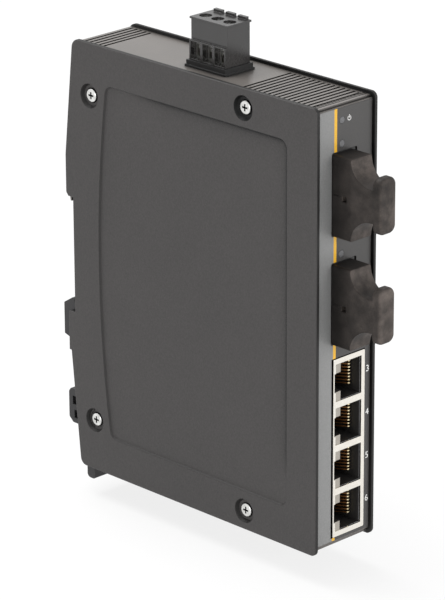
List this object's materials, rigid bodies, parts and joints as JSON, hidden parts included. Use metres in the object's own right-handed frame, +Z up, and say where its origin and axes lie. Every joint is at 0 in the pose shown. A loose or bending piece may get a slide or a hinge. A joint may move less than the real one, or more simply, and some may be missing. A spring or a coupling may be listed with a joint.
{
  "type": "industrial ethernet switch",
  "caption": "Narrow industrial ethernet switch for a top-hat rail, with shielded sockets, capped fibre ports, a pluggable screw terminal on top and a spring rail latch.",
  "frame": {"origin": "middle of the seat pad that bears on the rail's front face", "axes": "+X across the case, from the cover with the screws to the other, along the rail; +Y from the front with its sockets to the rail; +Z up"},
  "size_m": [0.0254, 0.1285, 0.1593],
  "materials": {
    "cover": "fine spark-eroded texture",
    "frame": "fine texture",
    "label": "printed foil, satin",
    "zinc": "zinc plated",
    "nickel": "bright nickel plate",
    "gold": "gold flashed",
    "socket_plastic": "moulded, satin",
    "board": "solder mask",
    "black_plastic": "moulded, satin",
    "ceramic": "polished ceramic",
    "cap": "soft moulded, satin",
    "clear": "milky polycarbonate",
    "terminal": "moulded, satin",
    "tinned": "tin plated",
    "latch": "moulded, satin",
    "spring_steel": "drawn wire",
    "can": "drawn can"
  },
  "bodies": {
    "case": {"left_cover": "cover", "right_cover": "cover", "cover_screws": "zinc", "centre_frame": "frame", "front_panel": "frame", "front_label": "label", "socket_shield": "nickel", "socket_housing": "socket_plastic", "circuit_board": "board", "fibre_transceiver_1": "black_plastic", "fibre_transceiver_2": "black_plastic", "fibre_sleeves_1": "ceramic", "fibre_sleeves_2": "ceramic", "light_pipe_power": "clear", "light_pipe_link_1": "clear", "light_pipe_link_2": "clear", "board_diodes": "ceramic", "power_header": "terminal", "header_pins": "tinned", "latch_spring": "spring_steel", "switch_chip": "black_plastic", "socket_transformer_1": "black_plastic", "socket_transformer_2": "black_plastic", "storage_capacitors": "can", "converter_coil": "black_plastic", "clock_crystal": "can", "socket_contacts_3": "gold", "socket_contacts_4": "gold", "socket_contacts_5": "gold", "socket_contacts_6": "gold"},
    "upper_cap": {"dust_cap_1": "cap"},
    "lower_cap": {"dust_cap_2": "cap"},
    "plug": {"terminal_plug": "terminal", "plug_contacts": "tinned"},
    "latch": {"rail_latch": "latch"},
    "screw_1": {"terminal_screw_1": "zinc"},
    "cage_1": {"clamp_cage_1": "tinned"},
    "screw_2": {"terminal_screw_2": "zinc"},
    "cage_2": {"clamp_cage_2": "tinned"},
    "screw_3": {"terminal_screw_3": "zinc"},
    "cage_3": {"clamp_cage_3": "tinned"}
  },
  "joints": [
    {"name": "latch_slide", "type": "slide", "parent": "case", "child": "latch", "axis": [0, 0, -1], "range_m": [0, 0.0045], "stiffness_N_per_m": 600, "springref_m": -0.006, "deforming": ["latch_spring"]},
    {"name": "upper_cap_pull", "type": "slide", "parent": "case", "child": "upper_cap", "axis": [0, -1, 0], "range_m": [0, 0.03]},
    {"name": "lower_cap_pull", "type": "slide", "parent": "case", "child": "lower_cap", "axis": [0, -1, 0], "range_m": [0, 0.03]},
    {"name": "plug_pull", "type": "slide", "parent": "case", "child": "plug", "axis": [0, 0, 1], "range_m": [0, 0.015]},
    {"name": "screw_1_turn", "type": "hinge", "parent": "plug", "child": "screw_1", "pos_m": [-0.00095, -0.05778, 0.0807], "axis": [0, 0, -1], "range_deg": [0, 1440.1]},
    {"name": "cage_1_rise", "type": "slide", "parent": "plug", "child": "cage_1", "axis": [0, 0, 1], "range_m": [0, 0.002]},
    {"name": "screw_2_turn", "type": "hinge", "parent": "plug", "child": "screw_2", "pos_m": [-0.00095, -0.0527, 0.0807], "axis": [0, 0, -1], "range_deg": [0, 1440.1]},
    {"name": "cage_2_rise", "type": "slide", "parent": "plug", "child": "cage_2", "axis": [0, 0, 1], "range_m": [0, 0.002]},
    {"name": "screw_3_turn", "type": "hinge", "parent": "plug", "child": "screw_3", "pos_m": [-0.00095, -0.04762, 0.0807], "axis": [0, 0, -1], "range_deg": [0, 1440.1]},
    {"name": "cage_3_rise", "type": "slide", "parent": "plug", "child": "cage_3", "axis": [0, 0, 1], "range_m": [0, 0.002]}
  ],
  "couplings": [
    {"joint": "screw_1_turn", "follows": "cage_1_rise", "rad_per_m": 12566},
    {"joint": "screw_2_turn", "follows": "cage_2_rise", "rad_per_m": 12566},
    {"joint": "screw_3_turn", "follows": "cage_3_rise", "rad_per_m": 12566}
  ]
}
